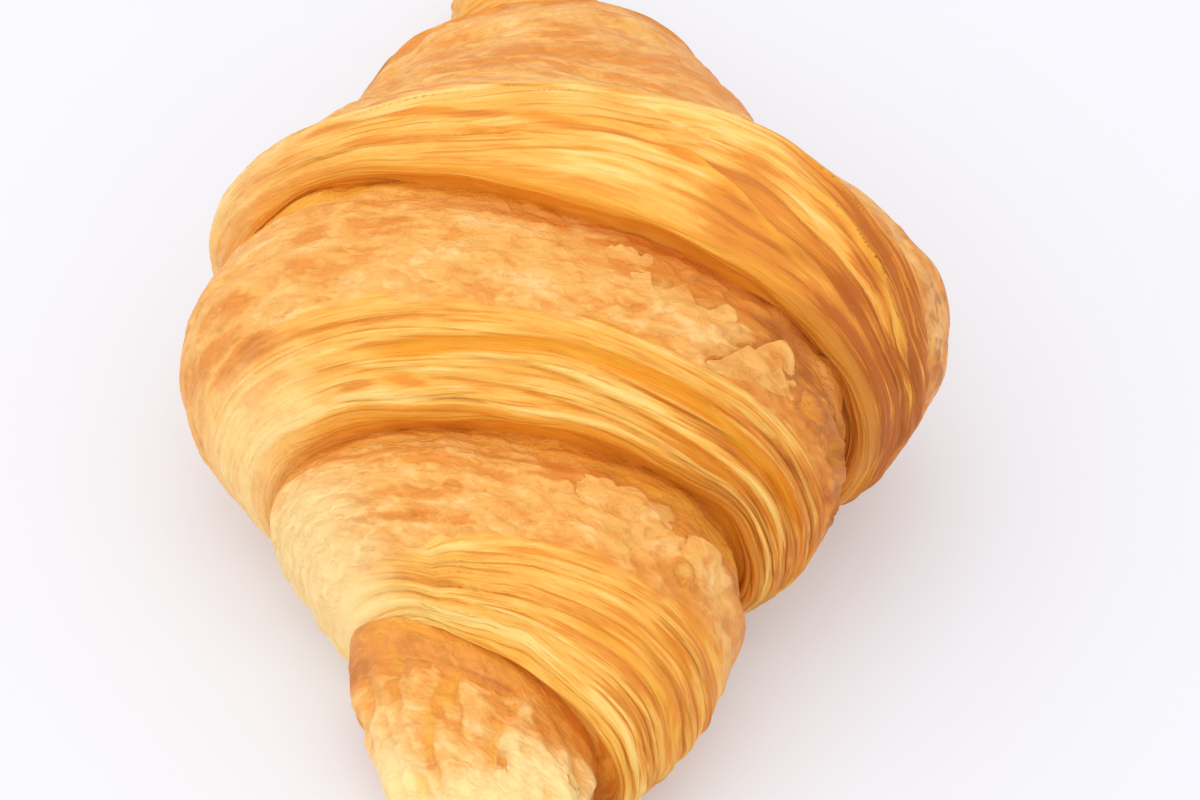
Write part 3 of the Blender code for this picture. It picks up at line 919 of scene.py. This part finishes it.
# torn flakes: corners as (u, v) on the band, first the rooted edge and then the free one
flakes = {
    "thickness": 0.13,
    "columns": 26, "rows": 14,
    "places": (
        {"band": "nearLarge", "lift": 0.9, "jag": 0.5, "tint": 0.35,
         "corners": ((25.0, 6.6), (37.0, 5.6), (32.6, -2.6), (24.2, 5.2))},
        {"band": "nearLarge", "lift": 0.5, "jag": 1.3, "tint": 0.5,
         "corners": ((13.5, 4.6), (25.0, 4.4), (26.5, -1.2), (14.5, -2.6))},
        {"band": "nearLarge", "lift": 0.5, "jag": 1.2, "tint": 0.4,
         "corners": ((10.5, -2.6), (17.5, -3.0), (17.0, -6.0), (11.5, -5.6))},
        {"band": "nearLarge", "lift": 0.8, "jag": 1.0, "tint": 0.1,
         "corners": ((36.0, -2.6), (45.0, -2.8), (43.0, -6.6), (37.0, -6.2))},
        {"band": "nearSmall", "lift": 0.5, "jag": 0.7, "tint": 0.5,
         "corners": ((7.0, 4.6), (19.0, 4.4), (20.5, -1.8), (9.5, -2.0))},
        {"band": "nearSmall", "lift": 0.7, "jag": 0.5, "tint": 0.5,
         "corners": ((20.5, 4.6), (27.5, 4.4), (28.5, 0.6), (21.5, 0.2))},
        {"band": "farSmall", "lift": 0.7, "jag": 0.8, "tint": 0.4,
         "corners": ((7.5, -1.0), (15.5, -1.2), (14.5, -5.0), (8.0, -4.6))},
    ),
}


def surfaceOf(piece, seed):    # gives the point and the normal at a place on the wrap map
    verts = piece.data.vertices
    tree = kdtree.KDTree(len(verts))
    for vert, place in zip(verts, wrapOf(piece)):
        tree.insert((place[0], place[1] - seed * patternGap, 0.0), vert.index)
    tree.balance()

    def spotAt(u, v):
        point, normal, total = Vector(), Vector(), 0.0
        for found, index, distance in tree.find_n((u, v, 0.0), 5):
            share = 1.0 / (distance + 0.1)
            point += verts[index].co * share
            normal += verts[index].normal * share
            total += share
        return point / total, normal.normalized()
    return spotAt


def makeFlake(number, flake, spotAt):
    deselectAll()
    bpy.ops.mesh.primitive_grid_add(x_subdivisions=flakes["columns"], y_subdivisions=flakes["rows"],
                                    size=1.0, location=(0, 0, 0))
    piece = bpy.context.object
    piece.name = piece.data.name = "tornFlake%d" % number
    rootLeft, rootRight, freeRight, freeLeft = [Vector(corner) for corner in flake["corners"]]
    places = []
    for vert in piece.data.vertices:
        across, out = vert.co.x + 0.5, vert.co.y + 0.5
        torn = wave(across * 5, out * 2, number + 3.0)
        torn += 0.5 * wave(across * 15, out * 3, number + 8.0)
        out *= 1.0 + 0.25 * flake["jag"] * torn
        root = rootLeft.lerp(rootRight, across)
        u, v = root.lerp(freeLeft.lerp(freeRight, across), out)
        point, normal = spotAt(u, v)
        side = 1.0 - abs(2.0 * across - 1.0) ** 4
        curl = out ** 1.3 * (0.35 + 0.65 * side) + 0.25 * wave(u / 4, v / 3, number + 5.0) * out
        vert.co = point + normal * mix(-0.25, flake["lift"], curl) * mm
        places.append((u, v))
    wrap = piece.data.uv_layers[0] if piece.data.uv_layers else piece.data.uv_layers.new()
    wrap.name = "wrap"
    for loop in piece.data.loops:
        wrap.data[loop.index].uv = places[loop.vertex_index]
    looks = dict(plainLooks, patch=0.7, tint=flake["tint"], brownAndShade=0.1)
    storeLooks(piece, {name: [number] * len(places) for name, number in looks.items()})
    sheet = piece.modifiers.new("sheet", "SOLIDIFY")
    sheet.thickness = flakes["thickness"] * mm
    sheet.offset = -1.0
    bpy.ops.object.modifier_apply(modifier=sheet.name)
    smoothOut(piece, 1)
    piece.data.materials.append(thinCrust)
    piece.data.shade_smooth()
    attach(piece, "root")


def makeFlakes():
    finders = {}
    for number, flake in enumerate(flakes["places"], 1):
        name = flake["band"]
        if name not in finders:
            finders[name] = surfaceOf(bpy.data.objects[name], sideBands[name]["seed"])
        makeFlake(number, flake, finders[name])


print("bands")
makeMiddle()
makeSideBands()
makeTips()
print("torn flakes")
makeFlakes()

# floor, light and camera

studio = {
    "floor": linear(202, 203, 208),
    "floorGlow": (0.222, 0.224, 0.234, 1.0),    # the table is lit from below too
    "world": (0.985, 0.985, 1.0, 1.0), "worldStrength": 0.96,
    "key": {"at": (-0.42, 0.0, 1.15), "size": 1.4, "power": 2.65, "colour": (1.0, 0.985, 0.96)},
    "top": {"at": (0.05, -0.10, 1.5), "size": 1.8, "power": 3.45, "colour": (1.0, 0.995, 1.0)},
    "side": {"at": (-1.0, -0.45, 0.65), "size": 1.3, "power": 1.6, "colour": (1.0, 0.99, 0.97)},
    "front": {"at": (0.10, -1.2, 0.6), "size": 1.2, "power": 1.2, "colour": (1.0, 1.0, 1.0)},
}
view = {
    "lookAt": (0.00373, -0.01504, 0.020), "distance": 0.50, "elevation": 47.0, "lens": 130.5,
}


def makeFloor():
    deselectAll()
    bpy.ops.mesh.primitive_plane_add(size=6.0, location=(0, 0, 0))
    floor = bpy.context.object
    floor.name = floor.data.name = "paleFloor"
    bpy.ops.object.mode_set(mode="EDIT")
    bpy.ops.mesh.subdivide(number_cuts=3)
    bpy.ops.object.mode_set(mode="OBJECT")
    shader = Shader("paleTable")
    grain = shader.patches(shader.node("TexCoord", out=3), 0.02, 0.02, 0.0)
    low = [part * 0.995 for part in studio["floor"]]
    shader.feed(shader.surface.inputs["Base Color"], shader.blend(grain, low, studio["floor"]))
    shader.surface.inputs["Roughness"].default_value = 0.7
    shader.surface.inputs["Emission Color"].default_value = studio["floorGlow"]
    shader.surface.inputs["Emission Strength"].default_value = 1.0
    floor.data.materials.append(shader.material)


def addLamp(name, lamp):
    deselectAll()
    bpy.ops.object.light_add(type="AREA", location=lamp["at"])
    light = bpy.context.object
    light.name = name
    light.data.size = lamp["size"]
    light.data.energy = lamp["power"]
    light.data.color = lamp["colour"]
    light.rotation_euler = (-Vector(lamp["at"])).to_track_quat("-Z", "Y").to_euler()


def lightUp():
    world = bpy.data.worlds.new("paleRoom")
    world.use_nodes = True
    sky = world.node_tree.nodes["Background"]
    sky.inputs["Color"].default_value = studio["world"]
    sky.inputs["Strength"].default_value = studio["worldStrength"]
    bpy.context.scene.world = world
    addLamp("keyLight", studio["key"])
    addLamp("topLight", studio["top"])
    addLamp("sideLight", studio["side"])
    addLamp("frontLight", studio["front"])
    bpy.context.scene.view_settings.view_transform = "Standard"


def placeCamera():
    tilt = math.radians(view["elevation"])
    target = Vector(view["lookAt"])
    offset = Vector((0.0, -math.cos(tilt), math.sin(tilt))) * view["distance"]
    deselectAll()
    bpy.ops.object.camera_add(location=target + offset, rotation=(math.pi / 2 - tilt, 0, 0))
    camera = bpy.context.object
    camera.data.lens = view["lens"]
    camera.data.sensor_width = 36.0
    camera.data.clip_start = 0.01
    bpy.context.scene.camera = camera


print("studio")
makeFloor()
lightUp()
placeCamera()
